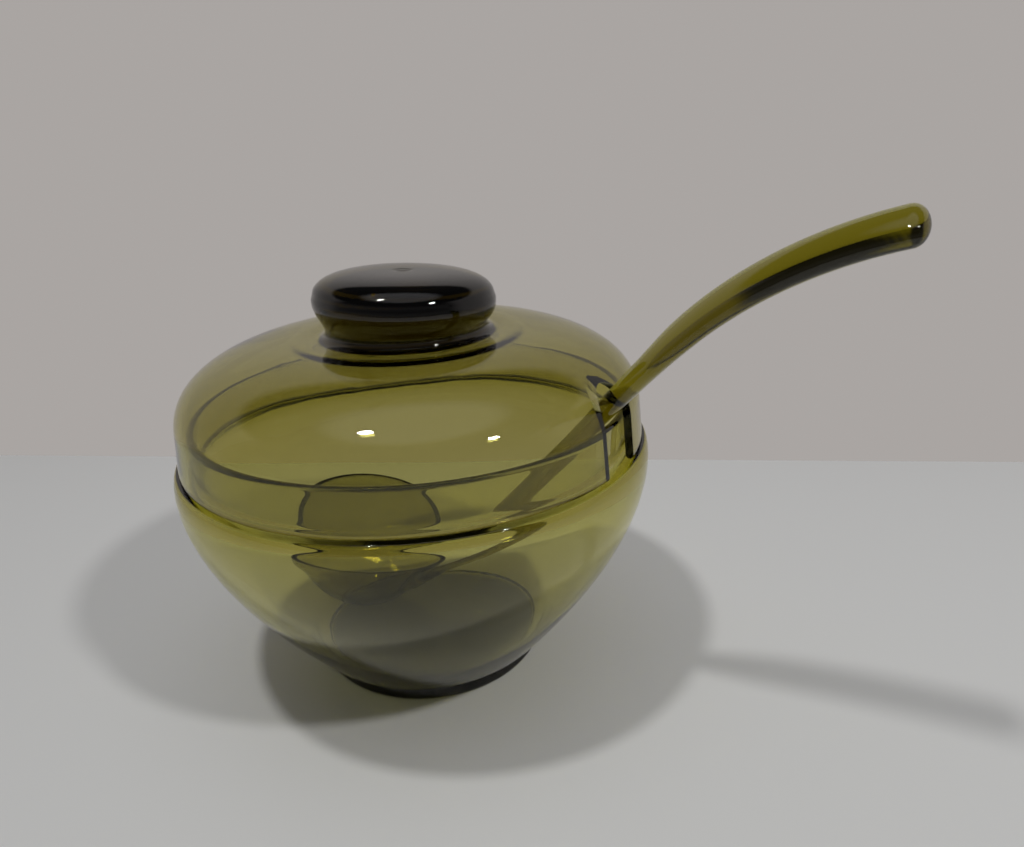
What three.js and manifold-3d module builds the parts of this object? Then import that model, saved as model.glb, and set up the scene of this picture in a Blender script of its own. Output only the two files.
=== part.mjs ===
// Covered punch bowl with its ladle, in olive glass.
// Millimetres, +Z up. The origin is the centre of the foot's flat underside, on the bowl's axis.
// The ladle leans towards +X, and its handle and the lid's notch lie in the XZ plane.

import * as THREE from 'three';
import { mergeVertices } from 'three/addons/utils/BufferGeometryUtils.js';
import Module from 'manifold-3d';

const wasm = await Module();
wasm.setup();

// ---- driving dimensions ----

const GAP = 0.3; // left between pieces that touch
const ROUND_STEPS = 48; // facets round the bowl's axis
const CURVE_STEPS = 5; // facets along each curve of a bowl or lid outline

const FOOT_R = 60.9;
const FOOT_H = 7.7;
const FOOT_EDGE = 2.4; // rounding of the foot's lower edge

const BODY_R = 120; // widest, just below the ledge
const BODY_WIDEST_Z = 114;
const FLOOR_Z = 11.6; // inside bottom of the bowl
const LEDGE_Z = 123.5; // shelf that the lid stands on
const LEDGE_OUT_R = 117.3;
const LEDGE_IN_R = 111.8;
const COLLAR_R = 109.8; // outside of the upstanding collar
const RIM_R = 1.9; // half the collar's thickness, and its rounding
const RIM_Z = 144; // top of the collar

const LID_OUT_R = 116.5;
const LID_IN_R = 112.4;
const LID_FOOT_Z = LEDGE_Z + GAP;
const LID_WALL_Z = 144; // where the lid's wall starts to turn in
const DOME_Z = 177.6;
const NECK_R = 40.3;
const KNOB_R = 45;
const KNOB_MID_Z = 194;
const KNOB_TOP_Z = 207.8;
const KNOB_UNDER_Z = 174.5; // inside of the lid, under the solid knob
const KNOB_TIP = 0.045; // fall of the knob's top for each millimetre across it
const KNOB_TIP_AWAY = THREE.MathUtils.degToRad(30.5); // towards which it falls, from +X

const NOTCH_W = 27.4;
const NOTCH_SPRING_Z = 150; // where the notch's straight sides meet its round head

const CUP_R = 41;
const CUP_DEPTH = 56;
const CUP_WALL = 3;
const CUP_BASE = 4;
const CUP_RIM_R = CUP_WALL / 2;
const CUP_X = -38.5; // centre of the cup's mouth
const CUP_Z = 66.9;
const CUP_LEAN = THREE.MathUtils.degToRad(17); // mouth tipped towards the handle

const SHANK_LEAN = THREE.MathUtils.degToRad(48.5); // straight stretch of the handle, above level
const SHANK_R = 4.8; // half its thickness where it lies on the collar
const HAND_R = 5.9; // half its thickness by the hand
const SHANK_OVAL = 1.35; // how much wider than thick it is inside the bowl
const HAND_OVAL = 1.9; // and by the hand
const FLAT_PAST = 15; // how far beyond the straight part the flattening is complete
const HAND_TWIST = THREE.MathUtils.degToRad(24); // the hand's broad face turned up on the -Y side
const SHANK_BELOW = 64.4; // straight length inside the bowl, from the collar
const SHANK_ABOVE = 45.5; // straight length outside
const LOWER_BEND_R = 350; // upward bend by the cup
const LOWER_BEND = THREE.MathUtils.degToRad(14.9);
const UPPER_BEND_R = 177; // downward bend by the hand
const UPPER_BEND = THREE.MathUtils.degToRad(33);

// ---- materials ----

function glass(colour) {
  return new THREE.MeshStandardMaterial({ color: colour, roughness: 0.05, metalness: 0 });
}

const VESSEL_GLASS = glass(0x83803f);
const FOOT_GLASS = glass(0x3f3d18);
const LID_GLASS = glass(0x7c7a40);
const CUP_GLASS = glass(0x57541a);
const HANDLE_GLASS = glass(0x6a6722);

// ---- helpers ----

// Points of a path whose start is given, with neighbours that coincide left out.
function outline(startX, startY, draw, curveSteps = CURVE_STEPS) {
  const path = new THREE.Path();
  path.moveTo(startX, startY);
  draw(path);
  const points = [];
  for (const point of path.getPoints(curveSteps)) {
    const last = points[points.length - 1];
    if (!last || last.distanceTo(point) > 1e-4) {
      points.push(point);
    }
  }
  return points;
}

// Body of revolution round +Z from an outline of (radius, height) that starts and ends on the axis.
function revolve(points, steps = ROUND_STEPS) {
  const geometry = new THREE.LatheGeometry(points, steps);
  geometry.rotateX(Math.PI / 2);
  return geometry;
}

function toSolid(geometry) {
  const bare = geometry.clone();
  bare.deleteAttribute('normal');
  bare.deleteAttribute('uv');
  const merged = mergeVertices(bare, 1e-4);
  return new wasm.Manifold(new wasm.Mesh({
    numProp: 3,
    vertProperties: new Float32Array(merged.attributes.position.array),
    triVerts: new Uint32Array(merged.index.array),
  }));
}

function toGeometry(solid) {
  const mesh = solid.getMesh();
  const geometry = new THREE.BufferGeometry();
  geometry.setAttribute('position', new THREE.BufferAttribute(mesh.vertProperties, 3));
  geometry.setIndex(new THREE.BufferAttribute(mesh.triVerts, 1));
  return geometry;
}

function piece(name, geometry, material) {
  const mesh = new THREE.Mesh(geometry, material);
  mesh.name = name;
  return mesh;
}

// ---- bowl ----

// Thick disc of glass under the bowl, ground flat underneath.
function footGeometry() {
  const points = outline(0, 0, (path) => {
    path.lineTo(FOOT_R - FOOT_EDGE, 0);
    path.absarc(FOOT_R - FOOT_EDGE, FOOT_EDGE, FOOT_EDGE, -Math.PI / 2, 0);
    path.quadraticCurveTo(FOOT_R, 5.5, FOOT_R - 1.5, FOOT_H);
    path.lineTo(0, FOOT_H);
  }, 3);
  return revolve(points);
}

// Open vessel: round sides, a shelf for the lid and the collar that stands up inside the lid.
function bowlGeometry() {
  const under = FOOT_H + GAP;
  const collarIn = COLLAR_R - 2 * RIM_R;
  const rimCentreZ = RIM_Z - RIM_R;
  const fillet = LEDGE_IN_R - COLLAR_R;
  const points = outline(0, under, (path) => {
    path.lineTo(58.5, under);
    path.bezierCurveTo(61.5, under, 65.1, 9.7, 67, 12);
    path.bezierCurveTo(84, 33.1, BODY_R, 78, BODY_R, BODY_WIDEST_Z);
    path.bezierCurveTo(BODY_R, 119.3, 118.8, LEDGE_Z, LEDGE_OUT_R, LEDGE_Z);
    path.lineTo(LEDGE_IN_R, LEDGE_Z);
    path.quadraticCurveTo(COLLAR_R, LEDGE_Z, COLLAR_R, LEDGE_Z + fillet);
    path.lineTo(COLLAR_R, rimCentreZ);
    path.absarc(COLLAR_R - RIM_R, rimCentreZ, RIM_R, 0, Math.PI);
    path.lineTo(collarIn, 127);
    path.bezierCurveTo(collarIn, 118.5, 115.6, 121.5, 115.6, 110);
    path.bezierCurveTo(115.6, 79, 83.8, 37.5, 67, 18);
    path.bezierCurveTo(62.4, 12.7, 59, FLOOR_Z, 50, FLOOR_Z);
    path.lineTo(0, FLOOR_Z);
  });
  return revolve(points);
}

// ---- lid ----

// Domed lid with its solid knob.
function lidShellGeometry() {
  const footCentreR = (LID_OUT_R + LID_IN_R) / 2;
  const footR = (LID_OUT_R - LID_IN_R) / 2;
  const footZ = LID_FOOT_Z + footR;
  const points = outline(0, KNOB_UNDER_Z, (path) => {
    path.bezierCurveTo(15, KNOB_UNDER_Z, 28, 172.9, 40, 172.9);
    path.lineTo(58, 173.3);
    path.bezierCurveTo(81, 172.1, 110, 164.4, 111, 143);
    path.lineTo(LID_IN_R, footZ);
    path.absarc(footCentreR, footZ, footR, Math.PI, 2 * Math.PI);
    path.lineTo(115, LID_WALL_Z);
    path.bezierCurveTo(113.8, 168.1, 82.2, 176.4, 58, DOME_Z);
    path.bezierCurveTo(54, 177.9, 50, 177.9, 46, 177.7);
    path.bezierCurveTo(42.5, 177.5, NECK_R, 178.6, NECK_R, 181.5);
    path.bezierCurveTo(NECK_R, 184.5, KNOB_R, 187.5, KNOB_R, KNOB_MID_Z);
    path.bezierCurveTo(KNOB_R, 208.3, 24, KNOB_TOP_Z, 0, KNOB_TOP_Z);
  });
  return tipKnob(revolve(points));
}

// Tips the knob a little out of level, more and more from the neck upwards.
function tipKnob(geometry) {
  const position = geometry.attributes.position;
  for (let i = 0; i < position.count; i += 1) {
    const rise = THREE.MathUtils.smoothstep(position.getZ(i), DOME_Z + 1, KNOB_MID_Z - 4);
    const away = position.getX(i) * Math.cos(KNOB_TIP_AWAY) + position.getY(i) * Math.sin(KNOB_TIP_AWAY);
    position.setZ(i, position.getZ(i) - KNOB_TIP * rise * away);
  }
  return geometry;
}

// Arch-headed block that cuts the handle's notch through the lid's +X side.
function notchCutterGeometry() {
  const half = NOTCH_W / 2;
  const shape = new THREE.Shape();
  shape.moveTo(-half, LID_FOOT_Z - 10);
  shape.lineTo(half, LID_FOOT_Z - 10);
  shape.lineTo(half, NOTCH_SPRING_Z);
  shape.absarc(0, NOTCH_SPRING_Z, half, 0, Math.PI);
  const depth = 60;
  const geometry = new THREE.ExtrudeGeometry(shape, { depth, bevelEnabled: false, curveSegments: 16 });
  geometry.rotateX(Math.PI / 2); // the arch stands up
  geometry.rotateZ(Math.PI / 2); // and the block runs along X
  geometry.translate(BODY_R + 10 - depth, 0, 0);
  return geometry;
}

function lidGeometry() {
  const shell = toSolid(lidShellGeometry());
  return toGeometry(shell.subtract(toSolid(notchCutterGeometry())));
}

// ---- ladle ----

function placeCup(geometry) {
  geometry.rotateY(CUP_LEAN);
  geometry.translate(CUP_X, 0, CUP_Z);
  return geometry;
}

// Deep round cup, its mouth at z = 0 before it is placed.
function cupGeometry() {
  const points = outline(0, -CUP_DEPTH, (path) => {
    path.absellipse(0, -CUP_RIM_R, CUP_R, CUP_DEPTH - CUP_RIM_R, -Math.PI / 2, 0);
    path.absarc(CUP_R - CUP_RIM_R, -CUP_RIM_R, CUP_RIM_R, 0, Math.PI);
    const hollow = CUP_DEPTH - CUP_BASE - CUP_RIM_R;
    path.absellipse(0, -CUP_RIM_R, CUP_R - CUP_WALL, hollow, 0, -Math.PI / 2, true);
  }, 4);
  return placeCup(revolve(points, 32));
}

// The cup's outside, grown by the gap, which trims the handle's end to the cup.
function cupTrimGeometry() {
  const radius = CUP_R + 1.5 * GAP;
  const points = outline(0, -CUP_DEPTH - 1.5 * GAP, (path) => {
    path.absellipse(0, -CUP_RIM_R, radius, CUP_DEPTH - CUP_RIM_R + 1.5 * GAP, -Math.PI / 2, 0);
    path.lineTo(radius, GAP);
    path.lineTo(0, GAP);
  }, 4);
  return placeCup(revolve(points, 32));
}

// Where the handle's centreline is and how steeply it climbs, a given length up from the cup.
const LOWER_LENGTH = LOWER_BEND_R * LOWER_BEND;
const STRAIGHT_END = LOWER_LENGTH + SHANK_BELOW + SHANK_ABOVE;
const HANDLE_LENGTH = STRAIGHT_END + UPPER_BEND_R * UPPER_BEND;

function stepAlong(point, angle, length) {
  return new THREE.Vector2(point.x + length * Math.cos(angle), point.y + length * Math.sin(angle));
}

function turnBy(point, angle, radius, turn) {
  const centre = stepAlong(point, angle + Math.PI / 2, radius);
  return stepAlong(centre, angle + turn - Math.PI / 2, radius);
}

const rimCentre = new THREE.Vector2(COLLAR_R - RIM_R, RIM_Z - RIM_R);
const overRim = stepAlong(rimCentre, SHANK_LEAN + Math.PI / 2, RIM_R + SHANK_R + GAP);
const straightStart = stepAlong(overRim, SHANK_LEAN, -SHANK_BELOW);
const straightEnd = stepAlong(overRim, SHANK_LEAN, SHANK_ABOVE);

function centreline(length) {
  if (length < LOWER_LENGTH) {
    const turn = (length - LOWER_LENGTH) / LOWER_BEND_R;
    return { point: turnBy(straightStart, SHANK_LEAN, LOWER_BEND_R, turn), angle: SHANK_LEAN + turn };
  }
  if (length < STRAIGHT_END) {
    return { point: stepAlong(straightStart, SHANK_LEAN, length - LOWER_LENGTH), angle: SHANK_LEAN };
  }
  const turn = -(length - STRAIGHT_END) / UPPER_BEND_R;
  return { point: turnBy(straightEnd, SHANK_LEAN, -UPPER_BEND_R, turn), angle: SHANK_LEAN + turn };
}

// Outline of the solid rod before it is flattened and bent: drawn thinner towards the cup.
function handleRodOutline() {
  const points = outline(0, -4, (path) => {
    path.lineTo(6.6, -4);
    path.bezierCurveTo(6.2, 6, 4.8, 16, 4.6, 34);
    path.lineTo(4.6, LOWER_LENGTH + 20);
    path.lineTo(SHANK_R, LOWER_LENGTH + SHANK_BELOW);
    path.bezierCurveTo(SHANK_R, 170, HAND_R, 210, HAND_R, HANDLE_LENGTH - 14);
    path.lineTo(HAND_R, HANDLE_LENGTH);
    path.absellipse(0, HANDLE_LENGTH, HAND_R, HAND_R, 0, Math.PI / 2);
  }, 3);
  return spaceOut(points, 8);
}

// Adds points so that no stretch of a bent outline is longer than a given length.
function spaceOut(points, longest) {
  const spaced = [points[0]];
  for (const point of points.slice(1)) {
    const last = spaced[spaced.length - 1].clone();
    const count = Math.ceil(Math.abs(point.y - last.y) / longest);
    for (let step = 1; step < count; step += 1) {
      spaced.push(last.clone().lerp(point, step / count));
    }
    spaced.push(point);
  }
  return spaced;
}

function handleGeometry() {
  const rod = revolve(handleRodOutline(), 12);
  const position = rod.attributes.position;
  for (let i = 0; i < position.count; i += 1) {
    const length = position.getZ(i);
    const { point, angle } = centreline(length);
    const share = THREE.MathUtils.smoothstep(length, LOWER_LENGTH + SHANK_BELOW, STRAIGHT_END + FLAT_PAST);
    const oval = THREE.MathUtils.lerp(SHANK_OVAL, HAND_OVAL, share);
    const section = new THREE.Vector2(position.getY(i) * oval, -position.getX(i));
    section.rotateAround(new THREE.Vector2(), HAND_TWIST * share);
    const out = stepAlong(point, angle + Math.PI / 2, section.y);
    position.setXYZ(i, out.x, section.x, out.y);
  }
  return toGeometry(toSolid(rod).subtract(toSolid(cupTrimGeometry())));
}

// ---- assembly ----

const bowl = new THREE.Group();
bowl.add(piece('bowl_body', bowlGeometry(), VESSEL_GLASS));
bowl.add(piece('bowl_foot', footGeometry(), FOOT_GLASS));

const lid = new THREE.Group();
lid.add(piece('lid', lidGeometry(), LID_GLASS));

const ladle = new THREE.Group();
ladle.add(piece('ladle_cup', cupGeometry(), CUP_GLASS));
ladle.add(piece('ladle_handle', handleGeometry(), HANDLE_GLASS));

const punchBowl = new THREE.Group();
punchBowl.add(bowl, lid, ladle);

export default punchBowl;
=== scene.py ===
"""A covered punch bowl with its ladle, in olive-green blown glass."""

import math

import bmesh
import bpy
import numpy as np
from bpy.props import FloatProperty, FloatVectorProperty, IntProperty, PointerProperty
from mathutils import Matrix, Vector


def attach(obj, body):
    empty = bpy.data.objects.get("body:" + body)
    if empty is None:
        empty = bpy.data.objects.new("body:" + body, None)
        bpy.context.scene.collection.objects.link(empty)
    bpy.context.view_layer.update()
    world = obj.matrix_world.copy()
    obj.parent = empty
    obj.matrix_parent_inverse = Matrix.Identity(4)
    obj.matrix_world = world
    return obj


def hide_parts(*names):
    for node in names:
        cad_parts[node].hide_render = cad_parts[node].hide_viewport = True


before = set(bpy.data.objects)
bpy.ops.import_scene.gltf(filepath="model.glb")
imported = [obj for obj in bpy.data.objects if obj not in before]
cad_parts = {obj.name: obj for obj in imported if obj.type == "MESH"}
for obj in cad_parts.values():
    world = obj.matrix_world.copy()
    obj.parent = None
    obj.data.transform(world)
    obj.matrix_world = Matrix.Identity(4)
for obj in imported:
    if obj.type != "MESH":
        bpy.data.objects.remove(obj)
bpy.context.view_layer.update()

bl_info = {
    "name": "Covered Punch Bowl",
    "version": (1, 0, 0),
    "blender": (4, 5, 0),
    "location": "3D View > Sidebar > Punch Bowl",
    "description": "Builds a blown-glass punch bowl with its lid, its ladle and a plain table",
    "category": "Object",
}

MM = 0.001

# Fixed heights, radii and depths, in millimetres.
FOOT_EDGE = 2.4
LEDGE_Z = 123.5
LEDGE_OUT_R = 117.3
LEDGE_IN_R = 111.8
LID_FOOT_Z = 123.8
CUP_RIM_R = 1.5
CUP_MOUTH = np.array((-38.5, 0.0, 66.9))  # middle of the cup's mouth
KNOB_MID_Z = 194.0
KNOB_TIP_AWAY = math.radians(30.5)  # towards which the knob falls, from +X
KNOB_TIP_FROM = 1.0  # height above the dome where the tipping begins
KNOB_TIP_UNDER = 4.0  # height below the knob's middle where it is complete
KNOB_SIDE_R = 30.0  # beyond this the lid's outline is the knob's side, not its top
GROOVE_Z = 197.5  # faint groove round the knob's shoulder
GROOVE_DEPTH = 0.3
GROOVE_WIDTH = 1.6
RING_R = 3.4  # faint ring where the knob was finished off
RING_DEPTH = 0.35
RING_WIDTH = 1.1
NOTCH_START_R = 70.0  # where the block that cuts the notch begins
NOTCH_DEPTH = 60.0
NOTCH_BELOW = 10.0  # how far the block reaches below the skirt
TIP_SPREAD = 0.9  # width of the ball at the handle's tip, as a share of the handle's own

# How finely the glass is made.
STEP = 1.6  # spacing of the points along an outline, in millimetres
FINE_STEP = 0.25  # spacing round a small bend
STEPS_ROUND = 240  # faces round the bowl and the lid
CUP_STEPS_ROUND = 96
ROD_STEPS_ROUND = 24
SKIN_GRAIN = 0.9 * MM  # size of the ladle's faces
MERGE = 1e-5  # metres
SHARP_EDGE = math.radians(40)

# Each piece's glass: how rich its tint is, and how much light each surface lets through.
BOWL_GLASS = (1.2, (0.93, 0.92, 0.9))
LID_GLASS = (1.15, (0.8, 0.78, 0.72))
LADLE_GLASS = (1.5, (0.7, 0.68, 0.6))
SMEAR = 0.02  # roughness of the dullest smear
RIPPLE = 0.03

# The table, in metres: two points on its back edge, and how far it runs on from them.
TABLE_BACK = (Vector((-0.528, 0.027, 0)), Vector((0.299, 0.406, 0)))
TABLE_SIDE = 2.2
TABLE_FRONT = 1.8
TABLE_THICK = 0.03

CAMERA_PLACE = Vector((0.2360, -0.2914, 0.2686))
CAMERA_RIGHT = Vector((0.8611, 0.5071, -0.0380))
CAMERA_UP = Vector((-0.1519, 0.3277, 0.9325))
CAMERA_LENS = 26.72
CAMERA_SENSOR = 36
CAMERA_NEAR = 0.01

LAMPS = (("lamp_left", (-0.12, -0.25, 0.95)), ("lamp_right", (0.66, -0.08, 0.74)))
LAMP_DISTANCE = 1.6
LAMP_AIM = Vector((0, 0, 0.1))
LAMP_COLOUR = (1.0, 0.98, 0.95)
LIGHT_BOUNCES = 32  # enough for light to pass every wall of glass

# The room's light. Heights are the upward part of a direction of length 1, and each pair is
# where a change begins and ends.
WALL_TOP = (0.56, 0.64)
FRONT_TOP = (0.2, 0.6)
CEILING_EDGE = (0.86, 0.94)
FRONT_SIDE = (-0.05, 0.35)  # here the part of a direction that points away from the wall
ABOVE_WALL = (0.03, 0.03, 0.031)
LOW_IN_FRONT = (0.14, 0.137, 0.135)
HIGH_IN_FRONT = (0.05, 0.05, 0.051)
CEILING = (0.5, 0.5, 0.51)


# ---- sizes and colours that may be changed ----


class PUNCHBOWL_PG_bowl(bpy.types.PropertyGroup):
    foot_radius: FloatProperty(
        name="Foot Radius", description="Radius of the fused foot", default=60.9 * MM, unit="LENGTH"
    )
    foot_height: FloatProperty(
        name="Foot Height", description="Height of the fused foot", default=7.7 * MM, unit="LENGTH"
    )
    widest_radius: FloatProperty(
        name="Widest Radius", description="Radius just under the ledge", default=120 * MM, unit="LENGTH"
    )
    widest_height: FloatProperty(
        name="Widest Height", description="Height of the widest ring", default=114 * MM, unit="LENGTH"
    )
    floor_height: FloatProperty(
        name="Inside Floor", description="Height of the inside bottom", default=11.6 * MM, unit="LENGTH"
    )
    collar_radius: FloatProperty(
        name="Collar Radius", description="Outside of the upstanding collar", default=109.8 * MM,
        unit="LENGTH",
    )
    rim_height: FloatProperty(
        name="Rim Height", description="Top of the collar", default=144 * MM, unit="LENGTH"
    )
    rim_rounding: FloatProperty(
        name="Rim Rounding", description="Half the collar's thickness", default=1.9 * MM, unit="LENGTH"
    )


class PUNCHBOWL_PG_lid(bpy.types.PropertyGroup):
    outer_radius: FloatProperty(
        name="Outer Radius", description="Outside of the skirt", default=116.5 * MM, unit="LENGTH"
    )
    inner_radius: FloatProperty(
        name="Inner Radius", description="Inside of the skirt", default=112.4 * MM, unit="LENGTH"
    )
    dome_height: FloatProperty(
        name="Dome Height", description="Top of the dome round the neck", default=177.6 * MM,
        unit="LENGTH",
    )
    neck_radius: FloatProperty(
        name="Neck Radius", description="Narrowest part under the knob", default=40.3 * MM,
        unit="LENGTH",
    )
    knob_radius: FloatProperty(
        name="Knob Radius", description="Widest part of the knob", default=45 * MM, unit="LENGTH"
    )
    knob_height: FloatProperty(
        name="Knob Height", description="Top of the knob", default=207.8 * MM, unit="LENGTH"
    )
    knob_under: FloatProperty(
        name="Under Knob", description="Height of the lid's inside under the solid knob",
        default=174.5 * MM, unit="LENGTH",
    )
    knob_tip: FloatProperty(
        name="Knob Tip", description="How far the knob sits out of level",
        default=math.atan(0.045), subtype="ANGLE",
    )
    notch_width: FloatProperty(
        name="Notch Width", description="Width of the ladle's notch", default=27.4 * MM, unit="LENGTH"
    )
    notch_spring: FloatProperty(
        name="Notch Spring", description="Height where the notch's arch begins", default=150 * MM,
        unit="LENGTH",
    )


class PUNCHBOWL_PG_ladle(bpy.types.PropertyGroup):
    cup_radius: FloatProperty(
        name="Cup Radius", description="Outside of the cup's mouth", default=41 * MM, unit="LENGTH"
    )
    cup_depth: FloatProperty(
        name="Cup Depth", description="Depth of the cup outside", default=56 * MM, unit="LENGTH"
    )
    cup_wall: FloatProperty(
        name="Cup Wall", description="Thickness of the cup's side", default=3 * MM, unit="LENGTH"
    )
    cup_base: FloatProperty(
        name="Cup Base", description="Thickness of the cup's bottom", default=4 * MM, unit="LENGTH"
    )
    cup_lean: FloatProperty(
        name="Cup Lean", description="Tip of the cup's mouth towards the handle",
        default=math.radians(17), subtype="ANGLE",
    )
    shank_lean: FloatProperty(
        name="Shank Lean", description="Rise of the handle's straight stretch",
        default=math.radians(48.5), subtype="ANGLE",
    )
    shank_radius: FloatProperty(
        name="Shank Radius", description="Half the handle's thickness on the rim", default=4.8 * MM,
        unit="LENGTH",
    )
    hand_radius: FloatProperty(
        name="Hand Radius", description="Half the handle's thickness by the hand",
        default=5.9 * MM, unit="LENGTH",
    )
    shank_oval: FloatProperty(
        name="Shank Oval", description="How much wider than thick the handle is inside the bowl",
        default=1.35, min=1,
    )
    hand_oval: FloatProperty(
        name="Hand Oval", description="How much wider than thick the handle is by the hand",
        default=1.88, min=1,
    )
    hand_twist: FloatProperty(
        name="Hand Twist", description="Turn of the handle's broad face by the hand",
        default=math.radians(24), subtype="ANGLE",
    )
    fillet: FloatProperty(
        name="Fillet", description="Softness of the joint of handle and cup", default=5 * MM,
        unit="LENGTH",
    )


class PUNCHBOWL_PG_glass(bpy.types.PropertyGroup):
    tint: FloatVectorProperty(
        name="Tint", description="What the glass lets through", subtype="COLOR", size=3,
        min=0, max=1, default=(0.77, 0.745, 0.0),
    )
    depth: FloatProperty(
        name="Depth", description="Strength of the tint for each metre of glass", default=170, min=0
    )
    bend: FloatProperty(
        name="Bend", description="Index of refraction", default=1.5, min=1, max=2
    )
    wobble: FloatProperty(
        name="Wobble", description="How far the blown walls stray", default=0.25 * MM, unit="LENGTH"
    )
    wobble_size: FloatProperty(
        name="Wobble Size", description="Waves for each metre of glass", default=14, min=0
    )


class PUNCHBOWL_PG_stage(bpy.types.PropertyGroup):
    table_colour: FloatVectorProperty(
        name="Table Colour", description="Colour of the table top", subtype="COLOR", size=3,
        min=0, max=1, default=(0.80, 0.815, 0.825),
    )
    wall_colour: FloatVectorProperty(
        name="Wall Colour", description="Colour of the light behind the table", subtype="COLOR",
        size=3, min=0, max=1, default=(0.40, 0.376, 0.362),
    )
    lamp_power: FloatProperty(
        name="Lamp Power", description="Power of each ceiling lamp", default=6.2, min=0, unit="POWER"
    )
    lamp_width: FloatProperty(
        name="Lamp Width", description="Width of each ceiling lamp", default=0.13, min=0.01,
        unit="LENGTH",
    )


# ---- outlines ----


def eased(values, low, high):
    """How far values have gone from a low to a high one, from 0 to 1 and soft at both ends."""
    share = np.clip((values - low) / (high - low), 0, 1)
    return share * share * (3 - 2 * share)


class Outline:
    """A run of (radius, height) points in millimetres, from the axis and back to it."""

    def __init__(self, start):
        self.points = [np.array(start, float)]

    def line(self, *to):
        start, end = self.points[-1], np.array(to, float)
        count = max(1, math.ceil(np.linalg.norm(end - start) / STEP))
        for i in range(1, count + 1):
            self.points.append(start + (end - start) * i / count)

    def curve(self, *corners, step=STEP):
        """A Bezier curve through two or three more control points."""
        control = np.array([self.points[-1], *corners], float)
        degree = len(control) - 1
        rough = np.linalg.norm(np.diff(control, axis=0), axis=1).sum()
        count = max(4, math.ceil(rough / step))
        for t in np.arange(1, count + 1) / count:
            weights = [
                math.comb(degree, k) * (1 - t) ** (degree - k) * t**k for k in range(degree + 1)
            ]
            self.points.append(np.array(weights) @ control)

    def arc(self, centre, radii, start, end, step=FINE_STEP):
        sweep = math.radians(end - start)
        count = max(4, math.ceil(abs(sweep) * max(radii) / step))
        for i in range(count + 1):
            angle = math.radians(start) + sweep * i / count
            point = np.array(centre) + np.array(radii) * (math.cos(angle), math.sin(angle))
            if np.linalg.norm(point - self.points[-1]) > FINE_STEP / 10:
                self.points.append(point)

    def metres(self):
        return np.array(self.points) * MM


def bowl_outline(size):
    foot_r, foot_h = size.foot_radius / MM, size.foot_height / MM
    wide_r, wide_z = size.widest_radius / MM, size.widest_height / MM
    floor_z, collar_r = size.floor_height / MM, size.collar_radius / MM
    rim_z, rim_r = size.rim_height / MM, size.rim_rounding / MM
    fillet = LEDGE_IN_R - collar_r
    line = Outline((0, 0))
    line.line(foot_r - FOOT_EDGE, 0)
    line.arc((foot_r - FOOT_EDGE, FOOT_EDGE), (FOOT_EDGE, FOOT_EDGE), -90, 0)
    line.curve((foot_r, 5.5), (foot_r - 1.2, foot_h), step=0.6)
    line.curve((61.6, foot_h + 0.4), (64.6, 9.2), (67, 12), step=0.6)
    line.curve((84, 33.1), (wide_r, 78), (wide_r, wide_z))
    line.curve((wide_r, 119.3), (118.8, LEDGE_Z), (LEDGE_OUT_R, LEDGE_Z), step=0.6)
    line.line(LEDGE_IN_R, LEDGE_Z)
    line.curve((collar_r, LEDGE_Z), (collar_r, LEDGE_Z + fillet), step=FINE_STEP)
    line.line(collar_r, rim_z - rim_r)
    line.arc((collar_r - rim_r, rim_z - rim_r), (rim_r, rim_r), 0, 180)
    inside = collar_r - 2 * rim_r
    line.line(inside, 127)
    line.curve((inside, 118.5), (115.6, 121.5), (115.6, 110), step=0.8)
    line.curve((115.6, 79), (83.8, 37.5), (67, 18))
    line.curve((62.4, 12.7), (59, floor_z), (50, floor_z))
    line.line(0, floor_z)
    return line.metres()


def lid_outline(size):
    out_r, in_r = size.outer_radius / MM, size.inner_radius / MM
    neck_r, knob_r, top_z = size.neck_radius / MM, size.knob_radius / MM, size.knob_height / MM
    under_z, dome_z = size.knob_under / MM, size.dome_height / MM
    edge = (out_r - in_r) / 2
    line = Outline((0, under_z))
    line.curve((15, under_z), (28, 172.9), (40, 172.9))
    line.line(58, 173.3)
    line.curve((81, 172.1), (110, 164.4), (111, 143))
    line.line(in_r, LID_FOOT_Z + edge)
    line.arc(((out_r + in_r) / 2, LID_FOOT_Z + edge), (edge, edge), 180, 360)
    line.line(115, 144)
    line.curve((113.8, 168.1), (82.2, 176.4), (58, dome_z))
    line.curve((54, 177.9), (50, 177.9), (46, 177.7), step=1)
    line.curve((42.5, 177.5), (neck_r, 178.6), (neck_r, 181.5), step=0.4)
    line.curve((neck_r, 184.5), (knob_r, 187.5), (knob_r, KNOB_MID_Z), step=0.4)
    line.curve((knob_r, 208.3), (24, top_z), (0, top_z), step=0.6)
    points = line.metres()
    radius, height = points[:, 0] / MM, points[:, 1] / MM
    side = (radius > KNOB_SIDE_R) & (height > dome_z + 5)
    groove = GROOVE_DEPTH * np.exp(-(((height - GROOVE_Z) / GROOVE_WIDTH) ** 2))
    points[side, 0] -= groove[side] * MM
    top = height > top_z - 3
    ring = RING_DEPTH * np.exp(-(((radius - RING_R) / RING_WIDTH) ** 2))
    points[top, 1] -= ring[top] * MM
    return points


def cup_outline(size):
    radius, depth = size.cup_radius / MM, size.cup_depth / MM
    wall, base = size.cup_wall / MM, size.cup_base / MM
    line = Outline((0, -depth))
    line.arc((0, -CUP_RIM_R), (radius, depth - CUP_RIM_R), -90, 0, step=STEP)
    line.arc((radius - CUP_RIM_R, -CUP_RIM_R), (CUP_RIM_R, CUP_RIM_R), 0, 180)
    line.arc((0, -CUP_RIM_R), (radius - wall, depth - base - CUP_RIM_R), 0, -90, step=STEP)
    return line.metres()


# ---- node helpers ----


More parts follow.
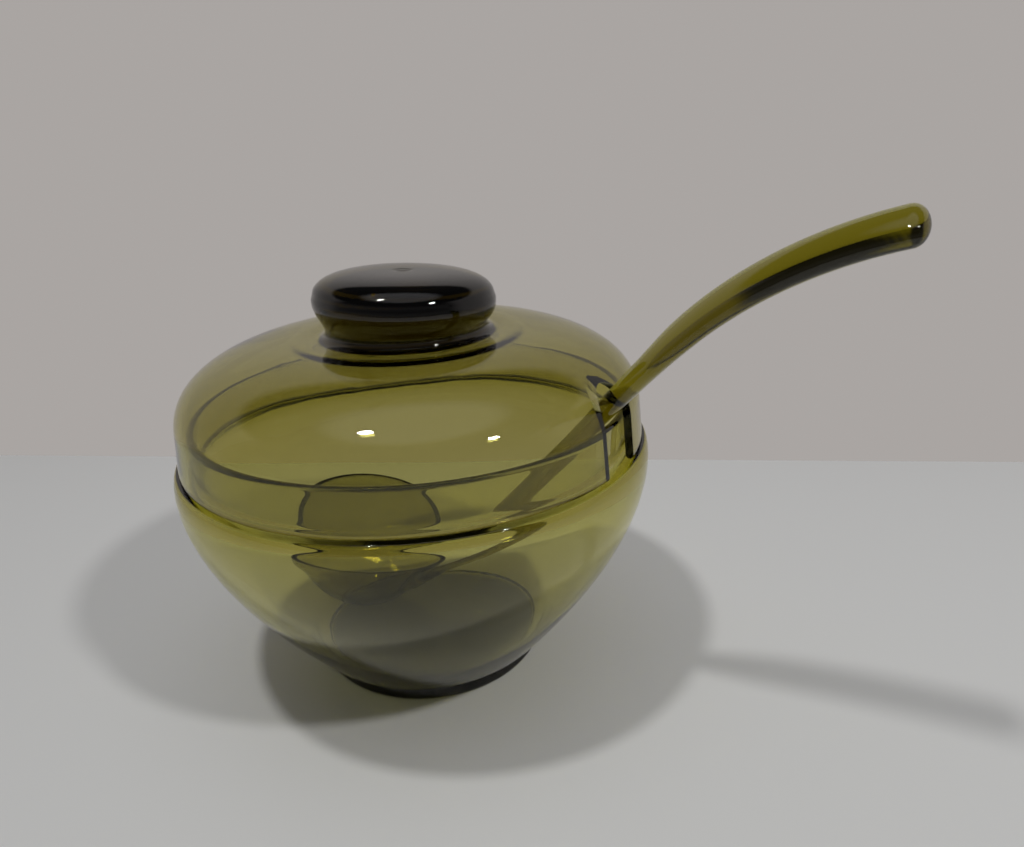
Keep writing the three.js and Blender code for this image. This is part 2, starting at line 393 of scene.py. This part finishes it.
def new_tree(name, inputs):
    """A geometry tree with one geometry in and out, and the named inputs besides."""
    tree = bpy.data.node_groups.new(name, "GeometryNodeTree")
    tree.interface.new_socket("Geometry", in_out="INPUT", socket_type="NodeSocketGeometry")
    tree.interface.new_socket("Geometry", in_out="OUTPUT", socket_type="NodeSocketGeometry")
    for label, kind in inputs:
        tree.interface.new_socket(label, in_out="INPUT", socket_type=kind)
    return tree, tree.nodes.new("NodeGroupInput"), tree.nodes.new("NodeGroupOutput")


def wire(tree, node, values):
    """Sets or links a node's inputs, each given by its name or number."""
    for key, value in values.items():
        socket = node.inputs[key]
        if isinstance(value, bpy.types.NodeSocket):
            tree.links.new(value, socket)
        else:
            socket.default_value = value
    return node


def add(tree, kind, values=None, **settings):
    node = tree.nodes.new(kind)
    for key, value in settings.items():
        setattr(node, key, value)
    return wire(tree, node, values or {})


def maths(tree, operation, *values):
    return add(tree, "ShaderNodeMath", dict(enumerate(values)), operation=operation).outputs[0]


def vector_maths(tree, operation, *values):
    node = add(tree, "ShaderNodeVectorMath", operation=operation)
    name = "Scale" if operation == "SCALE" else 1
    wire(tree, node, {0: values[0], name: values[1]})
    return node.outputs["Value" if operation == "DOT_PRODUCT" else "Vector"]


def finish_tree(tree, out, geometry, material):
    smooth = add(tree, "GeometryNodeSetShadeSmooth", {"Geometry": geometry})
    real = add(tree, "GeometryNodeRealizeInstances", {"Geometry": smooth.outputs[0]})
    dressed = add(
        tree, "GeometryNodeSetMaterial", {"Geometry": real.outputs[0], "Material": material}
    )
    tree.links.new(dressed.outputs[0], out.inputs[0])


def turning_tree():
    """Turns an outline round the axis, and lets the blown wall stray a little."""
    tree, given, out = new_tree("turned_glass", [
        ("Steps Round", "NodeSocketInt"),
        ("Wobble", "NodeSocketFloat"),
        ("Wobble Size", "NodeSocketFloat"),
        ("Still Below", "NodeSocketFloat"),
        ("Material", "NodeSocketMaterial"),
    ])
    outline, steps = given.outputs["Geometry"], given.outputs["Steps Round"]
    count = add(tree, "GeometryNodeAttributeDomainSize", {"Geometry": outline}).outputs["Point Count"]
    columns = maths(tree, "ADD", steps, 1.0)
    grid = add(tree, "GeometryNodeMeshGrid", {
        "Size X": 1.0, "Size Y": 1.0, "Vertices X": columns, "Vertices Y": count,
    })
    index = tree.nodes.new("GeometryNodeInputIndex").outputs[0]
    along = maths(tree, "MODULO", index, count)
    column = maths(tree, "FLOOR", maths(tree, "DIVIDE", index, count), 0.0)
    turn = maths(tree, "DIVIDE", maths(tree, "MULTIPLY", column, math.tau), steps)
    place = tree.nodes.new("GeometryNodeInputPosition").outputs[0]
    point = add(
        tree, "GeometryNodeSampleIndex", {"Geometry": outline}, data_type="FLOAT_VECTOR"
    )
    wire(tree, point, {"Value": place, "Index": along})
    parts = add(tree, "ShaderNodeSeparateXYZ", {0: point.outputs[0]})
    ring = add(tree, "ShaderNodeCombineXYZ", {
        "X": maths(tree, "MULTIPLY", parts.outputs["X"], maths(tree, "COSINE", turn)),
        "Y": maths(tree, "MULTIPLY", parts.outputs["X"], maths(tree, "SINE", turn)),
        "Z": parts.outputs["Z"],
    })
    turned = add(
        tree, "GeometryNodeSetPosition", {"Geometry": grid.outputs["Mesh"], "Position": ring.outputs[0]}
    )
    closed = add(
        tree, "GeometryNodeMergeByDistance", {"Geometry": turned.outputs[0], "Distance": MERGE}
    )
    noise = add(tree, "ShaderNodeTexNoise", {
        "Vector": place, "Scale": given.outputs["Wobble Size"], "Detail": 0.0,
    })
    height = add(tree, "ShaderNodeSeparateXYZ", {0: place}).outputs["Z"]
    rise = maths(tree, "SUBTRACT", height, given.outputs["Still Below"])
    free = add(tree, "ShaderNodeMath", {0: rise, 1: 100.0}, operation="MULTIPLY", use_clamp=True)
    depth = maths(tree, "MULTIPLY", maths(tree, "MULTIPLY", noise.outputs[0], free.outputs[0]),
                  maths(tree, "MULTIPLY", given.outputs["Wobble"], -1.0))
    normal = tree.nodes.new("GeometryNodeInputNormal").outputs[0]
    strayed = add(tree, "GeometryNodeSetPosition", {
        "Geometry": closed.outputs[0], "Offset": vector_maths(tree, "SCALE", normal, depth),
    })
    finish_tree(tree, out, strayed.outputs[0], given.outputs["Material"])
    return tree


def drawing_tree():
    """Sweeps a rod along a path whose points carry its half thickness and how oval it is."""
    tree, given, out = new_tree("drawn_glass", [
        ("Steps Round", "NodeSocketInt"),
        ("Material", "NodeSocketMaterial"),
    ])
    path = add(tree, "GeometryNodeMeshToCurve", {"Mesh": given.outputs["Geometry"]})
    ring = add(tree, "GeometryNodeCurvePrimitiveCircle", {
        "Resolution": given.outputs["Steps Round"], "Radius": 1.0,
    })
    thickness = add(tree, "GeometryNodeInputNamedAttribute", {"Name": "half_thickness"},
                    data_type="FLOAT")
    rod = add(tree, "GeometryNodeCurveToMesh", {
        "Curve": path.outputs[0], "Profile Curve": ring.outputs[0],
        "Scale": thickness.outputs[0], "Fill Caps": True,
    })
    place = tree.nodes.new("GeometryNodeInputPosition").outputs[0]
    oval = add(tree, "GeometryNodeInputNamedAttribute", {"Name": "oval"}, data_type="FLOAT")
    wide = add(tree, "ShaderNodeCombineXYZ", {"X": 1.0, "Y": oval.outputs[0], "Z": 1.0})
    flat = add(tree, "GeometryNodeSetPosition", {
        "Geometry": rod.outputs[0],
        "Position": vector_maths(tree, "MULTIPLY", place, wide.outputs[0]),
    })
    finish_tree(tree, out, flat.outputs[0], given.outputs["Material"])
    return tree


def linked(name, data):
    """A new object in the scene that shows a mesh, a light or a camera."""
    thing = bpy.data.objects.new(name, data)
    bpy.context.scene.collection.objects.link(thing)
    return thing


def line_mesh(name, points):
    """An object holding a run of joined points."""
    mesh = bpy.data.meshes.new(name)
    mesh.from_pydata([tuple(p) for p in points], [(i, i + 1) for i in range(len(points) - 1)], [])
    return linked(name, mesh)


def slab(name, corners, push):
    """A flat outline pushed out into a solid."""
    work = bmesh.new()
    face = work.faces.new([work.verts.new(corner) for corner in corners])
    made = bmesh.ops.extrude_face_region(work, geom=[face])["geom"]
    pushed = [part for part in made if isinstance(part, bmesh.types.BMVert)]
    bmesh.ops.translate(work, verts=pushed, vec=push)
    bmesh.ops.recalc_face_normals(work, faces=work.faces)
    mesh = bpy.data.meshes.new(name)
    work.to_mesh(mesh)
    work.free()
    return linked(name, mesh)


def plain_mesh(thing):
    """What an object's modifiers make of it, as a mesh of its own."""
    graph = bpy.context.evaluated_depsgraph_get()
    graph.update()
    return bpy.data.meshes.new_from_object(thing.evaluated_get(graph), depsgraph=graph)


def places_of(mesh):
    """The places of a mesh's points, one row for each."""
    places = np.empty(len(mesh.vertices) * 3, np.float32)
    mesh.vertices.foreach_get("co", places)
    return places.reshape(-1, 3)


def move_to(mesh, places):
    mesh.vertices.foreach_set("co", places.astype(np.float32).ravel())
    mesh.update()


def grown(source, tree, values):
    """The plain mesh that a tree makes of an object, whose own object is then removed."""
    modifier = source.modifiers.new(tree.name, "NODES")
    modifier.node_group = tree
    for item in tree.interface.items_tree:
        if item.item_type == "SOCKET" and item.in_out == "INPUT" and item.name in values:
            modifier[item.identifier] = values[item.name]
    mesh = plain_mesh(source)
    source.modifiers.clear()
    old = source.data
    bpy.data.objects.remove(source)
    bpy.data.meshes.remove(old)
    if not mesh.polygons:
        raise RuntimeError(f"{tree.name} made no faces")
    return coated(mesh, values["Material"])


def coated(mesh, material):
    """Gives every face of a mesh the one material."""
    mesh.materials.clear()
    mesh.materials.append(material)
    mesh.polygons.foreach_set("material_index", np.zeros(len(mesh.polygons), np.int32))
    return mesh


def facing_out(mesh):
    """Turns every face of a closed mesh outwards."""
    work = bmesh.new()
    work.from_mesh(mesh)
    bmesh.ops.recalc_face_normals(work, faces=work.faces)
    if work.calc_volume(signed=True) < 0:
        bmesh.ops.reverse_faces(work, faces=work.faces)
    work.to_mesh(mesh)
    work.free()
    return mesh


def turned_mesh(name, outline, steps, wobble, glass, material, still_below=-1.0):
    """An outline of (radius, height) points turned round the axis."""
    source = line_mesh(name + "_outline", [(r, 0, z) for r, z in outline])
    return facing_out(grown(source, turning_tree(), {
        "Steps Round": steps, "Wobble": wobble, "Wobble Size": glass.wobble_size,
        "Still Below": still_below, "Material": material,
    }))


def piece(name, mesh, body, slot, *nodes):
    """Links a finished mesh as a piece of the object."""
    mesh.name = name
    thing = linked(name, mesh)
    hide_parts(*nodes)
    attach(thing, body)


# ---- glass ----


def olive_glass(name, glass, richness, film):
    """Clear olive glass: tinted all through, faintly rippled, with a few dull smears."""
    material = bpy.data.materials.new(name)
    material.use_nodes = True
    tree = material.node_tree
    shader = tree.nodes["Principled BSDF"]
    wire(tree, shader, {
        "Base Color": (*film, 1), "Transmission Weight": 1.0, "IOR": glass.bend,
    })
    place = tree.nodes.new("ShaderNodeTexCoord").outputs["Object"]
    cloud = add(tree, "ShaderNodeTexNoise", {
        "Vector": place, "Scale": 22.0, "Detail": 5.0, "Roughness": 0.7,
    })
    dull = add(tree, "ShaderNodeMapRange", {
        "Value": cloud.outputs[0], "From Min": 0.58, "From Max": 0.8,
        "To Min": 0.0, "To Max": SMEAR,
    })
    tree.links.new(dull.outputs[0], shader.inputs["Roughness"])
    wave = add(tree, "ShaderNodeTexNoise", {"Vector": place, "Scale": 60.0, "Detail": 1.0})
    bump = add(tree, "ShaderNodeBump", {
        "Height": wave.outputs[0], "Strength": RIPPLE, "Distance": MM,
    })
    tree.links.new(bump.outputs[0], shader.inputs["Normal"])
    absorb = add(tree, "ShaderNodeVolumeAbsorption", {
        "Color": (*glass.tint, 1), "Density": glass.depth * richness,
    })
    tree.links.new(absorb.outputs[0], tree.nodes["Material Output"].inputs["Volume"])
    return material


# ---- the ladle's shape ----


class LadleLine:
    """The handle's centreline: its points, how steeply they climb and the rod's half thickness."""

    LOWER_BEND_R = 350.0
    LOWER_BEND = math.radians(14.9)
    UPPER_BEND_R = 177.0
    UPPER_BEND = math.radians(33)
    BELOW = 64.4
    ABOVE = 45.5
    FLAT_PAST = 15.0  # how far beyond the straight stretch the flattening is complete
    START = -3.0
    REST_GAP = 0.3
    TIP_ROOM = 0.3
    POINTS = 420

    def __init__(self, ladle, bowl):
        self.lean = ladle.shank_lean
        self.ovals = (ladle.shank_oval, ladle.hand_oval)
        self.turn = ladle.hand_twist
        shank, hand = ladle.shank_radius / MM, ladle.hand_radius / MM
        self.lower = self.LOWER_BEND_R * self.LOWER_BEND
        self.straight_end = self.lower + self.BELOW + self.ABOVE
        self.length = self.straight_end + self.UPPER_BEND_R * self.UPPER_BEND
        rim_r = bowl.rim_rounding / MM
        rim = (bowl.collar_radius / MM - rim_r, bowl.rim_height / MM - rim_r)
        over = self.along(rim, self.lean + math.pi / 2, rim_r + shank + self.REST_GAP)
        self.low = self.along(over, self.lean, -self.BELOW)
        self.high = self.along(over, self.lean, self.ABOVE)
        rod = Outline((6.6, -4))
        rod.curve((6.2, 6), (4.8, 16), (4.6, 34))
        rod.line(4.6, self.lower + 20)
        rod.line(shank, self.lower + self.BELOW)
        rod.curve((shank, 170), (hand, 210), (hand, self.length - 14))
        rod.line(hand, self.length + 10)
        self.rod = np.array(rod.points)
        end = self.length - self.TIP_ROOM
        self.lengths = np.linspace(self.START, end, self.POINTS)
        places = [self.at(s) for s in self.lengths]
        self.points = np.array([(p[0], 0.0, p[1]) for p, _ in places])
        self.ahead = np.array([(math.cos(a), 0.0, math.sin(a)) for _, a in places])

    @staticmethod
    def along(point, angle, length):
        return (point[0] + length * math.cos(angle), point[1] + length * math.sin(angle))

    def bent(self, point, radius, turn):
        centre = self.along(point, self.lean + math.pi / 2, radius)
        return self.along(centre, self.lean + turn - math.pi / 2, radius)

    def at(self, length):
        if length < self.lower:
            turn = (length - self.lower) / self.LOWER_BEND_R
            return self.bent(self.low, self.LOWER_BEND_R, turn), self.lean + turn
        if length < self.straight_end:
            return self.along(self.low, self.lean, length - self.lower), self.lean
        turn = -(length - self.straight_end) / self.UPPER_BEND_R
        return self.bent(self.high, -self.UPPER_BEND_R, turn), self.lean + turn

    def share(self, lengths):
        """How far the flattening and the twist have gone, from 0 on the collar to 1 by the hand."""
        return eased(lengths, self.lower + self.BELOW, self.straight_end + self.FLAT_PAST)

    def oval(self, lengths):
        """How much wider than thick the rod is."""
        return self.ovals[0] + (self.ovals[1] - self.ovals[0]) * self.share(lengths)

    def twist(self, lengths):
        return self.turn * self.share(lengths)

    def thickness(self, lengths):
        return np.interp(lengths, self.rod[:, 1], self.rod[:, 0])


class LadleField:
    """How far a point is from the ladle's surface, in millimetres, below zero inside it."""

    BATCH = 8000  # points looked up at one time
    PROBE = 0.02  # distance over which the slope is measured
    LONGEST_MOVE = 0.8
    LEAST_SLOPE = 0.25

    def __init__(self, ladle, line):
        self.line = line
        self.soft = ladle.fillet / MM
        radius, depth = ladle.cup_radius / MM, ladle.cup_depth / MM
        wall, base = ladle.cup_wall / MM, ladle.cup_base / MM
        self.outer = np.array((radius, radius, depth - CUP_RIM_R))
        self.inner = np.array((radius - wall, radius - wall, depth - base - CUP_RIM_R))
        self.rim = radius - CUP_RIM_R
        self.turn = np.array(Matrix.Rotation(ladle.cup_lean, 3, "Y"))
        self.near = None

    def look_up(self, points):
        """Notes the nearest point of the handle's line for each point."""
        self.near = np.empty(len(points), int)
        for start in range(0, len(points), self.BATCH):
            part = points[start:start + self.BATCH]
            gap = ((part[:, None, :] - self.line.points[None]) ** 2).sum(2)
            self.near[start:start + self.BATCH] = gap.argmin(1)

    @staticmethod
    def ellipsoid(points, radii):
        far = np.linalg.norm(points / radii, axis=1)
        steep = np.linalg.norm(points / radii**2, axis=1)
        return far * (far - 1) / np.maximum(steep, 1e-9)

    def __call__(self, points):
        local = (points - CUP_MOUTH) @ self.turn
        local[:, 2] += CUP_RIM_R
        above = local[:, 2]
        outside = np.maximum(self.ellipsoid(local, self.outer), above)
        hollow = self.ellipsoid(local, self.inner)
        from_axis = np.linalg.norm(local[:, :2], axis=1)
        emptied = np.where(above > 0, from_axis - self.inner[0], hollow)
        away = points - self.line.points[self.near]
        ahead = self.line.ahead[self.near]
        slip = (away * ahead).sum(1)
        lengths = self.line.lengths[self.near] + slip
        first, last = self.line.lengths[0], self.line.lengths[-1]
        over = np.clip(lengths, first, last)
        kept = away - ahead * (slip - (lengths - over))[:, None]
        rise = kept[:, 2] * ahead[:, 0] - kept[:, 0] * ahead[:, 2]
        beyond = (kept * ahead).sum(1)
        cosine, sine = np.cos(self.line.twist(over)), np.sin(self.line.twist(over))
        broad = (kept[:, 1] * cosine + rise * sine) / self.line.oval(over)
        thin = rise * cosine - kept[:, 1] * sine
        rod = np.sqrt(broad**2 + thin**2 + beyond**2) - self.line.thickness(over)
        blend = np.maximum(self.soft - np.abs(outside - rod), 0) / self.soft
        joined = np.minimum(outside, rod) - blend**2 * self.soft / 4
        shell = np.maximum(joined, -emptied)
        ring = np.hypot(from_axis - self.rim, above) - CUP_RIM_R
        return np.minimum(shell, ring)

    def settle(self, points, rounds=8):
        """Moves points that lie near the surface on to it."""
        corners = np.array([(1, -1, -1), (-1, -1, 1), (-1, 1, -1), (1, 1, 1)], float)
        for _ in range(rounds):
            self.look_up(points)
            values = [self(points + self.PROBE * c) for c in corners]
            slope = sum(v[:, None] * c for v, c in zip(values, corners)) / (4 * self.PROBE)
            level = sum(values) / 4
            steep = np.maximum((slope**2).sum(1), self.LEAST_SLOPE)
            move = np.clip(level / steep, -self.LONGEST_MOVE, self.LONGEST_MOVE)
            points = points - slope * move[:, None]
        return points


def rough_handle(line, material):
    """The handle swept along its line, flattened but not yet twisted."""
    source = line_mesh("handle_path", line.points * MM)
    thick = source.data.attributes.new("half_thickness", "FLOAT", "POINT")
    thick.data.foreach_set("value", line.thickness(line.lengths) * MM)
    oval = source.data.attributes.new("oval", "FLOAT", "POINT")
    oval.data.foreach_set("value", line.oval(line.lengths))
    values = {"Steps Round": ROD_STEPS_ROUND, "Material": material}
    return facing_out(grown(source, drawing_tree(), values))


def rough_cup(ladle, glass, material):
    cup = turned_mesh("cup", cup_outline(ladle), CUP_STEPS_ROUND, 0.0, glass, material)
    lean = Matrix.Rotation(ladle.cup_lean, 4, "Y")
    cup.transform(Matrix.Translation(Vector(CUP_MOUTH * MM)) @ lean)
    return cup


def ladle_mesh(ladle, bowl, glass, material):
    """Cup and handle as one gather: joined, remade as one skin, then set on their true shape."""
    line = LadleLine(ladle, bowl)
    both = bmesh.new()
    both.from_mesh(rough_handle(line, material))
    both.from_mesh(rough_cup(ladle, glass, material))
    tip, tip_r = Vector(line.points[-1] * MM), line.thickness(line.lengths[-1:])[0] * MM
    spread = Matrix.Diagonal((1, ladle.hand_oval * TIP_SPREAD, 1, 1))
    bmesh.ops.create_icosphere(
        both, subdivisions=3, radius=tip_r, matrix=Matrix.Translation(tip) @ spread
    )
    rough = bpy.data.meshes.new("ladle_rough")
    both.to_mesh(rough)
    both.free()
    gather = linked("ladle_rough", rough)
    remesh = gather.modifiers.new("one_skin", "REMESH")
    remesh.mode = "VOXEL"
    remesh.voxel_size = SKIN_GRAIN
    mesh = plain_mesh(gather)
    bpy.data.objects.remove(gather)
    field = LadleField(ladle, line)
    coated(mesh, material).shade_smooth()
    move_to(mesh, field.settle(places_of(mesh).astype(float) / MM) * MM)
    return facing_out(mesh)


# ---- the lid's shape ----


def tip_knob(mesh, size):
    """Tips the knob a little out of level, more and more from the neck upwards."""
    places = places_of(mesh)
    low = size.dome_height + KNOB_TIP_FROM * MM
    tipped = eased(places[:, 2], low, (KNOB_MID_Z - KNOB_TIP_UNDER) * MM)
    away = places[:, 0] * math.cos(KNOB_TIP_AWAY) + places[:, 1] * math.sin(KNOB_TIP_AWAY)
    places[:, 2] -= math.tan(size.knob_tip) * tipped * away
    move_to(mesh, places)


def notch_block(size):
    """Arch-headed block that cuts the notch through the lid's +X side."""
    half, spring = size.notch_width / 2, size.notch_spring
    low = (LID_FOOT_Z - NOTCH_BELOW) * MM
    arch = [(-half, low), (half, low)]
    arch += [
        (half * math.cos(a), spring + half * math.sin(a)) for a in np.linspace(0, math.pi, 65)
    ]
    corners = [(NOTCH_START_R * MM, y, z) for y, z in arch]
    return slab("notch_block", corners, (NOTCH_DEPTH * MM, 0, 0))


def cut_notch(shell, size):
    """The lid's shell with the ladle's notch taken out."""
    whole = linked("lid_whole", shell)
    block = notch_block(size)
    cut = whole.modifiers.new("notch", "BOOLEAN")
    cut.object = block
    cut.operation = "DIFFERENCE"
    cut.solver = "MANIFOLD"
    mesh = coated(plain_mesh(whole), shell.materials[0])
    bpy.data.objects.remove(whole)
    bpy.data.objects.remove(block)
    mesh.shade_smooth()
    mesh.set_sharp_from_angle(angle=SHARP_EDGE)
    return facing_out(mesh)


# ---- the table, the room and the camera ----


def table_front():
    """The level direction from the table's back edge towards its front."""
    start, end = TABLE_BACK
    along = (end - start).normalized()
    return Vector((along.y, -along.x, 0))


def table_top(stage):
    front = table_front()
    along = Vector((-front.y, front.x, 0))
    left, right = TABLE_BACK[0] - along * TABLE_SIDE, TABLE_BACK[1] + along * TABLE_SIDE
    corners = [left, right, right + front * TABLE_FRONT, left + front * TABLE_FRONT]
    table = slab("table", corners, (0, 0, -TABLE_THICK))
    table.data.materials.append(pale_table(stage))


def pale_table(stage):
    """A pale, faintly grained table top."""
    material = bpy.data.materials.new("pale_table")
    material.use_nodes = True
    tree = material.node_tree
    shader = tree.nodes["Principled BSDF"]
    wire(tree, shader, {"Base Color": (*stage.table_colour, 1), "Roughness": 0.45})
    place = tree.nodes.new("ShaderNodeTexCoord").outputs["Object"]
    grain = add(tree, "ShaderNodeTexNoise", {"Vector": place, "Scale": 900.0, "Detail": 2.0})
    bump = add(tree, "ShaderNodeBump", {
        "Height": grain.outputs[0], "Strength": 0.02, "Distance": MM,
    })
    tree.links.new(bump.outputs[0], shader.inputs["Normal"])
    return material


def change(tree, value, span):
    """Goes softly from 0 to 1 while a value crosses a span."""
    return add(tree, "ShaderNodeMapRange", {
        "Value": value, "From Min": span[0], "From Max": span[1], "To Min": 0.0, "To Max": 1.0,
    }, interpolation_type="SMOOTHSTEP").outputs[0]


def mixed(tree, share, before, after):
    """A colour that goes from one to another, each given as a colour or a socket."""
    node = add(tree, "ShaderNodeMix", data_type="RGBA")
    ends = [
        end if isinstance(end, bpy.types.NodeSocket) else (*end, 1) for end in (before, after)
    ]
    return wire(tree, node, {0: share, 6: ends[0], 7: ends[1]}).outputs[2]


def room_light(stage):
    """A pale wall behind the table, a dark room round it and a soft ceiling overhead."""
    world = bpy.data.worlds.new("room")
    bpy.context.scene.world = world
    world.use_nodes = True
    tree = world.node_tree
    tree.nodes.clear()
    way = tree.nodes.new("ShaderNodeTexCoord").outputs["Generated"]
    height = add(tree, "ShaderNodeSeparateXYZ", {0: way}).outputs["Z"]
    forward = vector_maths(tree, "DOT_PRODUCT", way, tuple(table_front()))
    behind = mixed(tree, change(tree, height, WALL_TOP), tuple(stage.wall_colour), ABOVE_WALL)
    ahead = mixed(tree, change(tree, height, FRONT_TOP), LOW_IN_FRONT, HIGH_IN_FRONT)
    sides = mixed(tree, change(tree, forward, FRONT_SIDE), behind, ahead)
    whole = mixed(tree, change(tree, height, CEILING_EDGE), sides, CEILING)
    glow = add(tree, "ShaderNodeBackground", {"Color": whole, "Strength": 1.0})
    out = tree.nodes.new("ShaderNodeOutputWorld")
    tree.links.new(glow.outputs[0], out.inputs[0])


def ceiling_lamp(stage, name, way):
    """A round lamp that faces the bowl from a given direction."""
    light = bpy.data.lights.new(name, "AREA")
    light.shape = "DISK"
    light.size = stage.lamp_width
    light.energy = stage.lamp_power
    light.color = LAMP_COLOUR
    lamp = linked(name, light)
    way = Vector(way).normalized()
    lamp.location = way * LAMP_DISTANCE + LAMP_AIM
    lamp.rotation_mode = "QUATERNION"
    lamp.rotation_quaternion = way.to_track_quat("Z", "Y")


def set_camera(scene):
    lens = bpy.data.cameras.new("camera")
    lens.sensor_width = CAMERA_SENSOR
    lens.lens = CAMERA_LENS
    lens.clip_start = CAMERA_NEAR
    camera = linked("camera", lens)
    back = CAMERA_RIGHT.cross(CAMERA_UP).normalized()
    up = back.cross(CAMERA_RIGHT).normalized()
    right = up.cross(back)
    turn = Matrix((right, up, back)).transposed().to_4x4()
    camera.matrix_world = Matrix.Translation(CAMERA_PLACE) @ turn
    scene.camera = camera


# ---- operators ----


class PUNCHBOWL_OT_bowl(bpy.types.Operator):
    """Turn the bowl, with its fused foot, ledge and collar"""

    bl_idname = "punchbowl.bowl"
    bl_label = "Bowl"

    def execute(self, context):
        scene = context.scene
        glass = scene.punchbowl_glass
        mesh = turned_mesh(
            "bowl", bowl_outline(scene.punchbowl_bowl), STEPS_ROUND, glass.wobble, glass,
            olive_glass("bowl_glass", glass, *BOWL_GLASS), still_below=2 * MM,
        )
        piece("bowl", mesh, "bowl", "bowl_glass", "bowl_body", "bowl_foot")
        return {"FINISHED"}


class PUNCHBOWL_OT_lid(bpy.types.Operator):
    """Turn the lid with its knob, and cut the ladle's notch"""

    bl_idname = "punchbowl.lid"
    bl_label = "Lid"

    def execute(self, context):
        scene = context.scene
        glass = scene.punchbowl_glass
        shell = turned_mesh(
            "lid", lid_outline(scene.punchbowl_lid), STEPS_ROUND, glass.wobble, glass,
            olive_glass("lid_glass", glass, *LID_GLASS),
        )
        tip_knob(shell, scene.punchbowl_lid)
        mesh = cut_notch(shell, scene.punchbowl_lid)
        piece("lid_dome", mesh, "lid", "lid_glass", "lid")
        return {"FINISHED"}


class PUNCHBOWL_OT_ladle(bpy.types.Operator):
    """Blow the ladle's cup and draw its handle out of it"""

    bl_idname = "punchbowl.ladle"
    bl_label = "Ladle"

    def execute(self, context):
        scene = context.scene
        glass = scene.punchbowl_glass
        material = olive_glass("ladle_glass", glass, *LADLE_GLASS)
        mesh = ladle_mesh(scene.punchbowl_ladle, scene.punchbowl_bowl, glass, material)
        piece("ladle", mesh, "ladle", "ladle_glass", "ladle_cup", "ladle_handle")
        return {"FINISHED"}


class PUNCHBOWL_OT_stage(bpy.types.Operator):
    """Lay the table and set the lamps and the camera"""

    bl_idname = "punchbowl.stage"
    bl_label = "Stage"

    def execute(self, context):
        scene = context.scene
        stage = scene.punchbowl_stage
        table_top(stage)
        room_light(stage)
        for name, way in LAMPS:
            ceiling_lamp(stage, name, way)
        set_camera(scene)
        scene.view_settings.view_transform = "Standard"
        scene.cycles.max_bounces = LIGHT_BOUNCES
        scene.cycles.transmission_bounces = LIGHT_BOUNCES
        return {"FINISHED"}


class PUNCHBOWL_PT_panel(bpy.types.Panel):
    """Every piece of the punch bowl, and its stage"""

    bl_label = "Punch Bowl"
    bl_idname = "PUNCHBOWL_PT_panel"
    bl_space_type = "VIEW_3D"
    bl_region_type = "UI"
    bl_category = "Punch Bowl"

    def draw(self, context):
        for group in GROUPS:
            box = self.layout.box()
            settings = getattr(context.scene, group)
            for name in settings.__annotations__:
                box.prop(settings, name)
        for maker in OPERATORS:
            self.layout.operator(maker.bl_idname)


GROUPS = {
    "punchbowl_bowl": PUNCHBOWL_PG_bowl,
    "punchbowl_lid": PUNCHBOWL_PG_lid,
    "punchbowl_ladle": PUNCHBOWL_PG_ladle,
    "punchbowl_glass": PUNCHBOWL_PG_glass,
    "punchbowl_stage": PUNCHBOWL_PG_stage,
}
OPERATORS = (PUNCHBOWL_OT_bowl, PUNCHBOWL_OT_lid, PUNCHBOWL_OT_ladle, PUNCHBOWL_OT_stage)


def register():
    for made in (*GROUPS.values(), *OPERATORS, PUNCHBOWL_PT_panel):
        bpy.utils.register_class(made)
    for name, group in GROUPS.items():
        setattr(bpy.types.Scene, name, PointerProperty(type=group))


def unregister():
    for name in GROUPS:
        delattr(bpy.types.Scene, name)
    for made in (PUNCHBOWL_PT_panel, *reversed(OPERATORS), *reversed(GROUPS.values())):
        bpy.utils.unregister_class(made)


def main():
    register()
    bpy.ops.punchbowl.bowl()
    bpy.ops.punchbowl.lid()
    bpy.ops.punchbowl.ladle()
    bpy.ops.punchbowl.stage()


if __name__ == "__main__":
    main()
